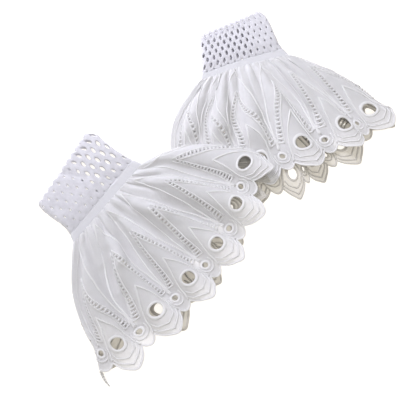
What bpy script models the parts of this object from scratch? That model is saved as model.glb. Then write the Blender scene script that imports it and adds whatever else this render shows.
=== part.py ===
"""Pair of lace wrist cuffs, laid flat, the left one over a corner of the right one.

Each cuff is a flattened tube: an openwork elastic wristband, a plain tape over the seam, and a flounce
of eyelet lace with a scalloped hem, gathered into the tape. Metres, +Z up, the table is Z = 0.
A cuff is shaped in its own frame: the middle of its seam is the origin and +X runs to the hem.
Half of a flounce is made flat first, as a strip of lace, and is then laid in its folds.
"""

import math

import bmesh
import bpy
import numpy as np
from mathutils import Matrix, Vector

# Cloth and seams
CLOTH = 0.0012  # wall of the flounce
TAPE_WALL = 0.0012
NET_WALL = 0.0020  # wall of the wristband, at the strands of its net
SEAM_GAP = 0.0003  # between pieces that meet
SPLIT = 0.0006  # between the front and the back of a flounce, round a side fold
SEAM_START = 0.0008  # tape to the flounce's first row, whose edge leans back towards the tape
LAYER_SPACE = 0.0009  # air between front and back where the front lies lowest

# The strip of lace. One repeat has a large pointed scallop and a small round one
PITCH = 0.042
REPEATS = 6  # in each layer
FIRST_FOLD = -0.36  # place of the side fold, in pitches from the first large scallop
STRIP = PITCH * REPEATS
EYELET_LINE = 0.096  # tape to the middle of a large eyelet
HEM_ROWS = (  # place past the fold (pitches), tape to the hem there, tape to the row inside the hem
    (0.00, 0.1075, 0.1020),
    (0.11, 0.1128, 0.1045),
    (0.24, 0.1170, 0.1065),
    (0.36, 0.1200, 0.1080),
    (0.48, 0.1170, 0.1065),
    (0.61, 0.1128, 0.1045),
    (0.72, 0.1075, 0.1025),
    (0.86, 0.1112, 0.1050),
)
LOBE_ROUNDING = 0.0009  # bulge of a small scallop between its notch and its lowest point
EYELETS = (  # place past the fold (pitches), tape to its middle, hole, rim, corners, half width cleared
    (0.36, EYELET_LINE, 0.0052, 0.0080, 12, 0.255),
    (0.86, 0.0980, 0.0023, 0.0045, 8, 0.145),
)
RIM_HEIGHT = 0.0006  # crest of the stitched rim above the cloth
RIM_EDGE = 0.0002  # the same at the hole
RIM_CREST = 0.6  # where the rim is highest, from the hole (0) to its outer edge (1)
EYELET_ROWS = (0.0840, 0.0915)  # rows above a large and a small eyelet
ROWS = (0.0, 0.008, 0.020, 0.036, 0.052, 0.068) + EYELET_ROWS
SIDE_CUTS = (0.0012, 0.0028)  # extra columns round a side fold, from its end

# The seam, the tape and the wristband
HALF_SEAM = 0.043
TAPE_WIDTH = 0.007
TAPE_SPREAD = 0.0030  # middle of the lower wall to middle of the upper one
TAPE_COLUMNS = (12, 4, 6, 4)  # over the top, round one side, under it, round the other side
TAPE_ROWS = 1
NET_SPREAD = 0.0042
NET_COLUMNS = (28, 4, 6, 4)
NET_ROWS = 10
NET_PIT = 0.0008  # hole of the net below its strands
PICOT = 0.0010  # zigzag of the free edge

# Folds of the front layer
FOLD_RISE = 0.050  # distance from the tape at which the folds are full
GATHER_CREST = 0.012  # distance from the tape at which the gathers are deepest
GATHER_END = 0.055
GATHER_HEIGHT = 0.0028
GATHERS_PER_REPEAT = 2
BACK_GATHER_HEIGHT = 0.0008
BACK_GATHER_END = 0.026
CREST_SPREAD = 0.0008  # cloth drawn from the slopes of a fold to its crest

# Where one cuff lies on the other
PRESSED = 0.05  # share of a fold's height that is left under the upper cuff
PRESS_RAMP = 0.016
LIFT = 0.0048
LIFT_RAMP = 0.028
FOOTPRINT_MARGIN = 0.003

# Rows of a flounce: place in the strip (pitches), angle of the eyelet line from the cuff's axis (degrees),
# its distance from the middle of the seam, direction of the cloth from there to the hem (degrees),
# height of the fold
LEFT_FRONT = (
    (-0.36, 53.6, 0.1250, -2.0, 0.0040),
    (0.0, 47.7, 0.1130, 20.0, 0.0050),
    (1.0, 29.0, 0.1022, 12.0, 0.0070),
    (2.0, 9.0, 0.0950, 1.0, 0.0080),
    (3.0, -11.9, 0.0927, -4.0, 0.0085),
    (4.0, -31.2, 0.0988, -10.0, 0.0080),
    (5.0, -48.7, 0.1136, -13.0, 0.0060),
    (5.64, -56.5, 0.1178, -38.0, 0.0045),
)
LEFT_BACK = (
    (5.64, -56.5, 0.1178, -38.0, 0.0),
    (6.0, -53.5, 0.1051, -15.0, 0.0),
    (7.0, -28.5, 0.0973, -8.0, 0.0),
    (8.0, -3.7, 0.0882, -2.0, 0.0),
    (9.0, 17.1, 0.0899, 5.0, 0.0),
    (10.0, 38.8, 0.1053, 12.0, 0.0),
    (11.0, 46.0, 0.1115, 10.0, 0.0),
    (11.64, 53.6, 0.1250, -2.0, 0.0),
)
RIGHT_FRONT = (
    (-0.36, 54.0, 0.1192, 36.0, 0.0040),
    (0.0, 46.5, 0.1120, 27.0, 0.0055),
    (1.0, 33.1, 0.1004, 8.0, 0.0075),
    (2.0, 8.8, 0.0910, 10.0, 0.0085),
    (3.0, -13.6, 0.0922, 0.0, 0.0080),
    (4.0, -33.0, 0.1020, -12.0, 0.0070),
    (5.0, -45.0, 0.1120, -20.0, 0.0060),
    (5.64, -51.5, 0.1188, -35.0, 0.0040),
)
RIGHT_BACK = (
    (5.64, -51.5, 0.1188, -35.0, 0.0),
    (6.0, -43.6, 0.1132, -18.0, 0.0),
    (7.0, -21.4, 0.1095, 8.0, 0.0),
    (8.0, -0.7, 0.1085, -8.0, 0.0),
    (9.0, 9.6, 0.1024, 7.0, 0.0),
    (10.0, 25.6, 0.1065, 21.0, 0.0),
    (11.0, 48.5, 0.1140, 32.0, 0.0),
    (11.64, 54.0, 0.1192, 36.0, 0.0),
)
HEM_BEND = (0.080, 0.104)  # distances from the tape between which the cloth takes its hem direction

# Rows of a wristband: distance along the axis, half of its width there, its middle's distance from the axis
LEFT_BAND = (
    (-0.0470, 0.0365, 0.0035),
    (-0.0420, 0.0400, 0.0050),
    (-0.0310, 0.0394, 0.0034),
    (-0.0090, 0.0400, 0.0016),
    (0.0, 0.0430, 0.0),
)
RIGHT_BAND = (
    (-0.0540, 0.0325, 0.0045),
    (-0.0490, 0.0345, 0.0052),
    (-0.0320, 0.0370, 0.0034),
    (-0.0110, 0.0390, 0.0008),
    (0.0, 0.0430, 0.0),
)

CUFFS = {  # bow: how far each side bows out. lean: lengthening of the band per metre of Y
    "left": {
        "place": (-0.0744, -0.0019),
        "turn": -33.0,
        "front": LEFT_FRONT,
        "back": LEFT_BACK,
        "bow": (0.0088, 0.0076),
        "band": LEFT_BAND,
        "lean": 2.6,
    },
    "right": {
        "place": (0.0415, 0.1267),
        "turn": -70.8,
        "front": RIGHT_FRONT,
        "back": RIGHT_BACK,
        "bow": (0.0078, 0.0120),
        "band": RIGHT_BAND,
        "lean": 2.8,
    },
}

# End of the seam's thread, at the left cuff's lower corner: past the hem, sideways, radius
TAIL_ROWS = (
    (0.0018, 0.0, 0.0011),
    (0.0055, 0.0004, 0.0010),
    (0.0095, 0.0014, 0.0008),
    (0.0135, 0.0032, 0.0004),
)
TAIL_CORNERS = 8

FINISHES = {  # colour, roughness
    "white_cotton": ((0.86, 0.86, 0.90, 1.0), 0.85),
    "crochet_cotton": ((0.84, 0.84, 0.89, 1.0), 0.90),
    "cotton_tape": ((0.88, 0.88, 0.93, 1.0), 0.75),
    "cotton_thread": ((0.82, 0.82, 0.85, 1.0), 0.85),
}


def eased(x):
    """0 to 1 with a level start and end."""
    x = np.clip(x, 0.0, 1.0)
    return x * x * (3.0 - 2.0 * x)


def through(knots, values, at):
    """A smooth curve through values at rising knots, read at the given places."""
    knots = np.asarray(knots, float)
    values = np.asarray(values, float)
    slopes = np.gradient(values, knots, axis=0)
    at = np.clip(at, knots[0], knots[-1])
    i = np.clip(np.searchsorted(knots, at) - 1, 0, len(knots) - 2)
    step = knots[i + 1] - knots[i]
    x = (at - knots[i]) / step
    if values.ndim > 1:
        x, step = x[:, None], step[:, None]
    start = values[i] * (1 + 2 * x) * (1 - x) ** 2 + slopes[i] * step * x * (1 - x) ** 2
    end = values[i + 1] * x * x * (3 - 2 * x) + slopes[i + 1] * step * x * x * (x - 1)
    return start + end


def to_table(cuff, points):
    """Plan points of a cuff's frame, on the table."""
    turn = math.radians(cuff["turn"])
    c, s = math.cos(turn), math.sin(turn)
    return points @ np.array(((c, s), (-s, c))) + np.array(cuff["place"])


def rows_of(cuff, layer):
    """Places across the cuff (0 at its +Y side, 1 at its -Y side), eyelet line, hem directions, heights."""
    rows = np.array(cuff[layer])
    past_fold = (rows[:, 0] - rows[0, 0]) / REPEATS
    places = past_fold if layer == "front" else 1.0 - past_fold
    angle = np.radians(rows[:, 1])
    points = rows[:, 2:3] * np.stack((np.cos(angle), np.sin(angle)), axis=1)
    order = np.argsort(places)
    return places[order], points[order], np.radians(rows[order, 3]), rows[order, 4]


def spoke(cuff, layer, share, v):
    """Plan position of the cloth, a share of the way across the cuff and a distance v from the tape."""
    places, points, hem_turns, _ = rows_of(cuff, layer)
    side = 1.0 - 2.0 * share
    seam = np.stack((0.0 * share + SEAM_START, HALF_SEAM * side), axis=1)
    reach = through(places, points, share) - seam
    outward = np.stack((-reach[:, 1], reach[:, 0]), axis=1)
    outward /= np.linalg.norm(outward, axis=1, keepdims=True)
    t = v / EYELET_LINE
    bow = np.where(side > 0, *cuff["bow"]) * side * np.abs(side) * np.sin(math.pi * t)
    straight = seam + reach * t[:, None] + outward * bow[:, None]
    turn = through(places, hem_turns, share)
    past = (v - EYELET_LINE)[:, None] * np.stack((np.cos(turn), np.sin(turn)), axis=1)
    bend = eased((v - HEM_BEND[0]) / (HEM_BEND[1] - HEM_BEND[0]))
    return straight + (seam + reach + past - straight) * bend[:, None]


def footprint(cuff, layer):
    """Outline of a flounce on the table."""
    hem = max(row[1] for row in HEM_ROWS)
    corner = min(row[1] for row in HEM_ROWS)
    steps = np.linspace(0.0, 1.0, 9)
    side = spoke(cuff, layer, 0.0 * steps, steps * corner)
    tips = spoke(cuff, layer, steps, 0.0 * steps + hem)
    other = spoke(cuff, layer, 0.0 * steps + 1.0, steps[::-1] * corner)
    return to_table(cuff, np.concatenate((side, tips, other)))


def outside(outline, points):
    """Distance from an outline, negative within it."""
    start = outline[None, :, :]
    edge = np.roll(outline, -1, axis=0)[None, :, :] - start
    reach = points[:, None, :] - start
    along = np.clip((reach * edge).sum(2) / np.maximum((edge * edge).sum(2), 1e-12), 0.0, 1.0)
    distance = np.linalg.norm(reach - edge * along[:, :, None], axis=2).min(1)
    crosses = (reach[:, :, 1] >= 0) != (reach[:, :, 1] >= edge[:, :, 1])
    rise = np.where(crosses, edge[:, :, 1], 1.0)
    beyond = crosses & (reach[:, :, 0] < edge[:, :, 0] * reach[:, :, 1] / rise)
    return np.where(beyond.sum(1) % 2 == 1, -distance, distance)


def near(cuff, points, ramp):
    """1 over a flounce and just past it, easing to 0 away from it."""
    distance = np.minimum(outside(footprint(cuff, "front"), points), outside(footprint(cuff, "back"), points))
    return eased(1.0 - (distance - FOOTPRINT_MARGIN) / ramp)


def gathers(v, height, end):
    """Depth of the gathers at a distance from the tape."""
    return height * (0.55 + 0.45 * eased(v / GATHER_CREST)) * (1.0 - eased(v / end))


def wave(share, layer, per_repeat):
    """0 to 1 across a layer, 1 on the line of each large scallop."""
    past_fold = share if layer == "front" else 1.0 - share
    return 0.5 + 0.5 * np.cos(2 * math.pi * per_repeat * (FIRST_FOLD + REPEATS * past_fold))


def heights(name, layer, share, v, on_table):
    """Height of the middle of the cloth above the table, before the cuff is lifted."""
    cuff = CUFFS[name]
    gather = gathers(v, BACK_GATHER_HEIGHT, BACK_GATHER_END) * wave(share, "back", GATHERS_PER_REPEAT)
    back = CLOTH / 2 + gather
    if layer == "back":
        return back
    places, _, _, folds = rows_of(cuff, layer)
    fold = through(places, folds, share) * eased(v / FOLD_RISE) * wave(share, "front", 1)
    gather = gathers(v, GATHER_HEIGHT, GATHER_END) * wave(share, "front", GATHERS_PER_REPEAT)
    under_tape = (TAPE_SPREAD - CLOTH - LAYER_SPACE) * (1.0 - eased(v / FOLD_RISE))
    kept = np.ones(len(v))
    if name == "right":
        kept -= (1.0 - PRESSED) * near(CUFFS["left"], on_table, PRESS_RAMP)
    return back + CLOTH + LAYER_SPACE + under_tape + kept * (fold + gather)


def laid(name, layer, s, v):
    """Position of the middle of the cloth: s along the strip of this layer, v from the tape."""
    cuff = CUFFS[name]
    end = np.where(s < STRIP / 2, 0.0, 1.0)
    if layer == "back":
        end = 1.0 - end
    corner = to_table(cuff, spoke(cuff, "front", end, v))
    upper = heights(name, "front", end, v, corner)
    lower = heights(name, "back", end, v, corner)
    split, radius = (upper + lower) / 2, (upper - lower) / 2
    quarter = radius * math.pi / 2
    from_end = np.minimum(s, STRIP - s)
    angle = np.minimum(from_end / radius, math.pi / 2)
    middle = spoke(cuff, layer, 0.0 * s + 0.5, v)
    width = sum(np.linalg.norm(spoke(cuff, layer, 0.0 * s + side, v) - middle, axis=1) for side in (0.0, 1.0))
    plain = np.maximum(from_end - quarter, 0.0) * (width - 2 * radius) / (STRIP - 2 * quarter)
    inward = radius * (1.0 - np.cos(angle)) + plain
    share = np.where(end == 0.0, inward / width, 1.0 - inward / width)
    full = np.sin(angle)
    spread = 0.0 * share
    if layer == "front":
        pitches = FIRST_FOLD + REPEATS * share
        spread = CREST_SPREAD * eased(v / FOLD_RISE) * full**2 * np.sin(4 * math.pi * pitches)
    plan = spoke(cuff, layer, share + spread / width, v)
    on_table = to_table(cuff, plan)
    z = split + (heights(name, layer, share, v, on_table) - split) * full
    if name == "left":
        z += LIFT * near(CUFFS["right"], on_table, LIFT_RAMP)
    return np.concatenate((plan, z[:, None]), axis=1)


def drape(name, layer, points):
    """Flat lace (x along the strip, y from the tape, z outside the cloth's middle) laid in its folds."""
    s, v, w = points[:, 0], points[:, 1], points[:, 2]
    h = 0.00005
    along = laid(name, layer, s + h, v) - laid(name, layer, s - h, v)
    down = laid(name, layer, s, v + h) - laid(name, layer, s, v - h)
    outward = np.cross(along, down)
    outward /= np.linalg.norm(outward, axis=1, keepdims=True)
    return laid(name, layer, s, v) + outward * w[:, None]


def point_array(bm):
    return np.array([vert.co for vert in bm.verts], float)


def move_points(bm, points):
    for vert, point in zip(bm.verts, points):
        vert.co = point


def grid(columns, rows):
    """Flat grid with lines at the given places."""
    bm = bmesh.new()
    bmesh.ops.create_grid(bm, x_segments=len(columns) - 1, y_segments=len(rows) - 1, size=0.5)
    for vert in bm.verts:
        column = round((vert.co.x + 0.5) * (len(columns) - 1))
        row = round((vert.co.y + 0.5) * (len(rows) - 1))
        vert.co = (columns[column], rows[row], 0.0)
    return bm


def strip_columns():
    """Places along the strip: those of the hem's table in each repeat, and more round the side folds."""
    places = [(repeat + row[0]) * PITCH for repeat in range(REPEATS) for row in HEM_ROWS]
    places[0] = SPLIT / 2
    places += [STRIP - SPLIT / 2]
    places += list(SIDE_CUTS) + [STRIP - cut for cut in SIDE_CUTS]
    return sorted(places)


def hem_at(x, column):
    """Length of the cloth at a place along the strip, from one column of the hem's table."""
    rows = HEM_ROWS + ((1.0,) + HEM_ROWS[0][1:],)
    return float(np.interp((x / PITCH) % 1.0, [row[0] for row in rows], [row[column] for row in rows]))


def cut_eyelet(bm, x, eyelet, rings):
    """Cuts a round hole in the flat lace, with a ring of faces to each (share of the rim, height)."""
    _, y, hole, rim, corners, clear = eyelet
    above = EYELET_ROWS[EYELETS.index(eyelet)]
    low = max(x - clear * PITCH, SIDE_CUTS[0])
    high = min(x + clear * PITCH, STRIP - SIDE_CUTS[0])
    middles = {face: face.calc_center_median() for face in bm.faces}
    inside = {f for f, m in middles.items() if low < m.x < high and above < m.y < hem_at(m.x, 2)}
    border = {edge for face in inside for edge in face.edges if not inside.issuperset(edge.link_faces)}
    bmesh.ops.delete(bm, geom=list(inside), context="FACES")
    loops = [list(border)]
    for share, height in rings:
        place = Matrix.Translation((x, y, height))
        radius = hole + (rim - hole) * share
        made = bmesh.ops.create_circle(bm, segments=corners, radius=radius, matrix=place)
        loops.append(list({edge for vert in made["verts"] for edge in vert.link_edges}))
    for outer, inner in zip(loops, loops[1:]):
        bmesh.ops.triangle_fill(bm, use_beauty=True, edges=outer + inner, normal=(0.0, 0.0, 1.0))


def round_lobes(bm):
    """A vertex more on each hem edge of a small scallop, moved out to round it."""
    shortest = min(row[1] for row in HEM_ROWS)
    edges = [edge for edge in bm.edges if edge.is_boundary]
    hem = [edge for edge in edges if min(vert.co.y for vert in edge.verts) > shortest - 0.001]
    places = {edge: (sum(v.co.x for v in edge.verts) / 2 / PITCH) % 1.0 for edge in hem}
    lobe = [edge for edge, place in places.items() if place > HEM_ROWS[-2][0] and edge.calc_length() > 0.005]
    made = bmesh.ops.subdivide_edges(bm, edges=lobe, cuts=1)
    for item in made["geom_inner"]:
        if isinstance(item, bmesh.types.BMVert):
            item.co.y += LOBE_ROUNDING


def slab(bm, wall):
    """Closes a flat sheet into a wall. Its points' Z, the relief, is kept on the outer side."""
    inner = set(bm.verts)
    bmesh.ops.extrude_face_region(bm, geom=list(bm.faces), use_keep_orig=True)
    for vert in bm.verts:
        vert.co.z = -wall / 2 if vert in inner else vert.co.z + wall / 2
    bmesh.ops.recalc_face_normals(bm, faces=bm.faces)


def lace_strip(rings):
    """Flat half of a flounce, with its scallops and eyelets."""
    bm = grid(strip_columns(), ROWS + (1.0, 2.0))
    for vert in bm.verts:
        if vert.co.y > 0.5:
            vert.co.y = hem_at(vert.co.x, 1 if vert.co.y > 1.5 else 2)
    for repeat in range(REPEATS):
        for eyelet in EYELETS:
            cut_eyelet(bm, (repeat + eyelet[0]) * PITCH, eyelet, rings)
    round_lobes(bm)
    bmesh.ops.triangulate(bm, faces=bm.faces)
    return bm


def ring_point(k, half_width, spread, wall, w):
    """(y, z) round a flattened tube whose wall lies on the table, w outside the wall's middle.

    k is 0 to 1 over the top from +Y to -Y, to 2 round the -Y side, to 3 underneath, to 4 round the +Y side.
    """
    radius = spread / 2
    reach = half_width - wall / 2 - radius
    turn = math.pi * (np.clip(k - 1, 0, 1) + np.clip(k - 3, 0, 1))
    across = np.where(k < 2, 1 - 2 * np.clip(k, 0, 1), -1 + 2 * np.clip(k - 2, 0, 1))
    y = reach * across - (radius + w) * np.sin(turn)
    z = wall / 2 + radius + (radius + w) * np.cos(turn)
    return y, z


def ring_places(columns):
    """Places round a tube, 0 to 4, with the given number of columns in each of its four parts."""
    return [part + i / count for part, count in enumerate(columns) for i in range(count)] + [4.0]


def band(cuff, columns, rows, spread, wall, shape=None):
    """Flattened tube with a wall. shape(bm) moves points of the flat sheet before it is closed."""
    bm = grid(ring_places(columns), rows)
    if shape:
        shape(bm)
    bmesh.ops.triangulate(bm, faces=bm.faces)
    slab(bm, wall)
    ends = [face for face in bm.faces if len({round(v.co.x, 3) for v in face.verts} | {0.0, 4.0}) == 2]
    bmesh.ops.delete(bm, geom=ends, context="FACES_ONLY")
    points = point_array(bm)
    table = np.array(cuff["band"])
    half_width, middle = through(table[:, 0], table[:, 1:], points[:, 1]).T
    y, z = ring_point(points[:, 0], half_width, spread, wall, points[:, 2])
    x = points[:, 1] * (1 + cuff["lean"] * y)
    move_points(bm, np.stack((x, y + middle, z), axis=1))
    bmesh.ops.remove_doubles(bm, verts=bm.verts, dist=0.00001)
    return bm


def net_relief(bm):
    """Staggered diamonds on the top of the wristband, as pits between strands, and a zigzag free edge."""
    rows = sorted({round(vert.co.y, 6) for vert in bm.verts})

    def place(vert):
        return round(vert.co.x * NET_COLUMNS[0]), rows.index(round(vert.co.y, 6))

    def strand(vert):
        return sum(place(vert)) % 2 == 0

    top = [face for face in bm.faces if face.calc_center_median().x < 1.0]
    for face in top:
        bmesh.utils.face_split(face, *[vert for vert in face.verts if strand(vert)])
    for vert in [vert for vert in bm.verts if vert.co.x < 0.999 and not strand(vert)]:
        column, row = place(vert)
        if row == 0:
            vert.co.y += PICOT
        elif column > 0 and row < NET_ROWS:
            vert.co.z = -NET_PIT


def net_band(cuff):
    start = cuff["band"][0][0]
    rows = np.linspace(start, -TAPE_WIDTH - SEAM_GAP, NET_ROWS + 1)
    return band(cuff, NET_COLUMNS, rows, NET_SPREAD, NET_WALL, net_relief)


def tape_band(cuff):
    rows = np.linspace(-TAPE_WIDTH, 0.0, TAPE_ROWS + 1)
    return band(cuff, TAPE_COLUMNS, rows, TAPE_SPREAD, TAPE_WALL)


def flounce(name, layer):
    """One layer of a flounce. The back one has no raised rims, since its outer side lies on the table."""
    raised = ((1.0, 0.0), (RIM_CREST, RIM_HEIGHT), (0.0, RIM_EDGE))
    plain = ((1.0, 0.0), (0.0, 0.0))
    bm = lace_strip(raised if layer == "front" else plain)
    slab(bm, CLOTH)
    move_points(bm, drape(name, layer, point_array(bm)))
    return bm


def thread_tail(cuff):
    """Thread end past the lower hem corner, a tapered tube through its rows."""
    hem = np.array([HEM_ROWS[0][1]])
    corner, before = (spoke(cuff, "front", np.array([1.0]), hem - step)[0] for step in (0.0, 0.001))
    out = Vector(corner - before).normalized()
    aside = Vector((-out.y, out.x))
    upright = Matrix.Rotation(math.atan2(out.y, out.x), 4, "Z") @ Matrix.Rotation(math.pi / 2, 4, "Y")
    bm = bmesh.new()
    loops = []
    for along, sideways, radius in TAIL_ROWS:
        middle = Vector(corner) + out * along + aside * sideways
        place = Matrix.Translation((middle.x, middle.y, radius)) @ upright
        made = bmesh.ops.create_circle(bm, segments=TAIL_CORNERS, radius=radius, matrix=place)
        loops.append(list({edge for vert in made["verts"] for edge in vert.link_edges}))
    for first, second in zip(loops, loops[1:]):
        bmesh.ops.bridge_loops(bm, edges=first + second)
    bmesh.ops.holes_fill(bm, edges=bm.edges)
    bmesh.ops.recalc_face_normals(bm, faces=bm.faces)
    return bm


def finish_of(name):
    made = bpy.data.materials.get(name)
    if made is None:
        colour, roughness = FINISHES[name]
        made = bpy.data.materials.new(name)
        made.use_nodes = True
        shader = made.node_tree.nodes["Principled BSDF"]
        shader.inputs["Base Color"].default_value = colour
        shader.inputs["Roughness"].default_value = roughness
        shader.inputs["Metallic"].default_value = 0.0
    return made


def keep(bm, name, cuff, finish_name, collection):
    """Puts a mesh of a cuff's frame on the table as a named object."""
    place = Matrix.Translation((*cuff["place"], 0.0))
    bm.transform(place @ Matrix.Rotation(math.radians(cuff["turn"]), 4, "Z"))
    mesh = bpy.data.meshes.new(name)
    bm.to_mesh(mesh)
    bm.free()
    mesh.materials.append(finish_of(finish_name))
    made = bpy.data.objects.new(name, mesh)
    collection.objects.link(made)
    return made


def centre_on_origin(objects):
    """Moves the meshes so that the origin is the bottom middle of their box."""
    points = np.concatenate([[vert.co for vert in made.data.vertices] for made in objects])
    low, high = points.min(0), points.max(0)
    middle = (low + high) / 2
    for made in objects:
        made.data.transform(Matrix.Translation((-middle[0], -middle[1], -low[2])))


def main():
    for old in list(bpy.data.objects):
        bpy.data.objects.remove(old)
    parts = bpy.data.collections.new("lace_wrist_cuffs")
    bpy.context.scene.collection.children.link(parts)
    made = []
    for name, cuff in CUFFS.items():
        made.append(keep(net_band(cuff), f"{name}_wristband", cuff, "crochet_cotton", parts))
        made.append(keep(tape_band(cuff), f"{name}_tape", cuff, "cotton_tape", parts))
        for layer in ("front", "back"):
            lace = flounce(name, layer)
            made.append(keep(lace, f"{name}_flounce_{layer}", cuff, "white_cotton", parts))
    left = CUFFS["left"]
    made.append(keep(thread_tail(left), "left_thread_tail", left, "cotton_thread", parts))
    centre_on_origin(made)


main()
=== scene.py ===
"""Looks of a pair of lace wrist cuffs that lie flat, the left one over a corner of the right one.

Each cuff has an openwork elastic wristband, a tape over the seam and a flounce of eyelet lace. The
flounce is made flat first, as a strip of lace with its holes and its stitching, and is then laid in
its folds, on the form of the frame's solids. Metres, +Z up, the table is Z = 0. In a cuff's own frame
the middle of its seam is the origin and +X runs to the hem.
"""

import math

import bmesh
import bpy
import numpy as np
from bpy.props import FloatProperty, FloatVectorProperty, PointerProperty
from mathutils import Matrix, Vector


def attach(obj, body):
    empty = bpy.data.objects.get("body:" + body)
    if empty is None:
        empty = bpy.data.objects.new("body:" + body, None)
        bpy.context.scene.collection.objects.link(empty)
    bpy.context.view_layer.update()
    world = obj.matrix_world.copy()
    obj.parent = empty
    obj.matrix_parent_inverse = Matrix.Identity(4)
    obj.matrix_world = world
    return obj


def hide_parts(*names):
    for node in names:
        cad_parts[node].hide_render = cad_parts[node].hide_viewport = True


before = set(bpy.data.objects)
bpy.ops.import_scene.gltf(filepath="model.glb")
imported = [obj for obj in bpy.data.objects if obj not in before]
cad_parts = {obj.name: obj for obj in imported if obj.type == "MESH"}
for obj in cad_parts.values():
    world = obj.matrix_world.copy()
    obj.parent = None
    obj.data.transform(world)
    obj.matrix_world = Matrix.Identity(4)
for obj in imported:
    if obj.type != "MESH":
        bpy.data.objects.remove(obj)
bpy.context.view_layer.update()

bl_info = {
    "name": "Lace wrist cuffs",
    "version": (1, 0, 0),
    "blender": (4, 5, 0),
    "location": "3D View > Sidebar > Lace cuffs",
    "description": "Dresses a pair of lace wrist cuffs: wristbands, tapes, eyelet flounces and stitching",
    "category": "Object",
}

# The solids' walls and seams
CLOTH = 0.0012
TAPE_WALL = 0.0012
NET_WALL = 0.0020
SPLIT = 0.0006
SEAM_START = 0.0008
LAYER_SPACE = 0.0009

# The strip of lace. One repeat has a large pointed scallop and a small round one
PITCH = 0.042
REPEATS = 6
FIRST_FOLD = -0.36  # place of the side fold, in pitches from the first large scallop
STRIP = PITCH * REPEATS
EYELET_LINE = 0.096
HEM_CORNER = 0.1075
HEM_TIP = 0.1200
SCALLOP = (  # hem of a large scallop: pitches from its middle, tape to the hem
    (-0.36, HEM_CORNER),
    (-0.25, 0.1128),
    (-0.12, 0.1170),
    (0.0, HEM_TIP),
    (0.12, 0.1170),
    (0.25, 0.1128),
    (0.36, HEM_CORNER),
)
LOBE = (  # hem of a small scallop
    (0.36, HEM_CORNER),
    (0.43, 0.1103),
    (0.50, 0.1114),
    (0.57, 0.1103),
    (0.64, HEM_CORNER),
)
EYELETS = (  # pitches from the large scallop, tape to the middle, hole, outer edge of the stitched rim
    (0.0, EYELET_LINE, 0.0052, 0.0073),
    (0.5, 0.0980, 0.0023, 0.0038),
)

# The seam, the tape and the wristband
HALF_SEAM = 0.043
TAPE_WIDTH = 0.007
TAPE_SPREAD = 0.0030
NET_SPREAD = 0.0042

# Folds of the solids
FOLD_RISE = 0.050
GATHER_CREST = 0.012
GATHER_END = 0.055
GATHER_HEIGHT = 0.0028
GATHERS_PER_REPEAT = 2
BACK_GATHER_HEIGHT = 0.0008
BACK_GATHER_END = 0.026
CREST_SPREAD = 0.0008
PRESSED = 0.05  # share of the right cuff's folds that is left under the other cuff
PRESS_RAMP = 0.016
LIFT = 0.0048  # of the left cuff over the right one
LIFT_RAMP = 0.028
FOOTPRINT_MARGIN = 0.003
FOOTPRINT_STEPS = 9
LEAST_SQUARE = 1e-12  # keeps a run of no length from dividing by nothing
HEM_BEND = (0.080, 0.104)

# Rows of a flounce: place in the strip (pitches), angle of the eyelet line from the cuff's axis
# (degrees), its distance from the middle of the seam, direction of the cloth from there to the hem
# (degrees), height of the fold
LEFT_FRONT = (
    (-0.36, 53.6, 0.1250, -2.0, 0.0040),
    (0.0, 47.7, 0.1130, 20.0, 0.0050),
    (1.0, 29.0, 0.1022, 12.0, 0.0070),
    (2.0, 9.0, 0.0950, 1.0, 0.0080),
    (3.0, -11.9, 0.0927, -4.0, 0.0085),
    (4.0, -31.2, 0.0988, -10.0, 0.0080),
    (5.0, -48.7, 0.1136, -13.0, 0.0060),
    (5.64, -56.5, 0.1178, -38.0, 0.0045),
)
LEFT_BACK = (
    (5.64, -56.5, 0.1178, -38.0, 0.0),
    (6.0, -53.5, 0.1051, -15.0, 0.0),
    (7.0, -28.5, 0.0973, -8.0, 0.0),
    (8.0, -3.7, 0.0882, -2.0, 0.0),
    (9.0, 17.1, 0.0899, 5.0, 0.0),
    (10.0, 38.8, 0.1053, 12.0, 0.0),
    (11.0, 46.0, 0.1115, 10.0, 0.0),
    (11.64, 53.6, 0.1250, -2.0, 0.0),
)
RIGHT_FRONT = (
    (-0.36, 54.0, 0.1192, 36.0, 0.0040),
    (0.0, 46.5, 0.1120, 27.0, 0.0055),
    (1.0, 33.1, 0.1004, 8.0, 0.0075),
    (2.0, 8.8, 0.0910, 10.0, 0.0085),
    (3.0, -13.6, 0.0922, 0.0, 0.0080),
    (4.0, -33.0, 0.1020, -12.0, 0.0070),
    (5.0, -45.0, 0.1120, -20.0, 0.0060),
    (5.64, -51.5, 0.1188, -35.0, 0.0040),
)
RIGHT_BACK = (
    (5.64, -51.5, 0.1188, -35.0, 0.0),
    (6.0, -43.6, 0.1132, -18.0, 0.0),
    (7.0, -21.4, 0.1095, 8.0, 0.0),
    (8.0, -0.7, 0.1085, -8.0, 0.0),
    (9.0, 9.6, 0.1024, 7.0, 0.0),
    (10.0, 25.6, 0.1065, 21.0, 0.0),
    (11.0, 48.5, 0.1140, 32.0, 0.0),
    (11.64, 54.0, 0.1192, 36.0, 0.0),
)

# Rows of a wristband: distance along the axis, half of its width there, how far its middle lies aside
LEFT_BAND = (
    (-0.0470, 0.0365, 0.0035),
    (-0.0420, 0.0400, 0.0050),
    (-0.0310, 0.0394, 0.0034),
    (-0.0090, 0.0400, 0.0016),
    (0.0, 0.0430, 0.0),
)
RIGHT_BAND = (
    (-0.0540, 0.0325, 0.0045),
    (-0.0490, 0.0345, 0.0052),
    (-0.0320, 0.0370, 0.0034),
    (-0.0110, 0.0390, 0.0008),
    (0.0, 0.0430, 0.0),
)

# How the seam bows: place across the cuff, and its shift to the hem there
LEFT_SEAM = ((-0.043, 0.0010), (0.0, 0.0025), (0.043, 0.0045))
RIGHT_SEAM = ((-0.043, -0.0020), (0.0, -0.0045), (0.043, -0.0030))
SEAM_FADE = 0.045

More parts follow.
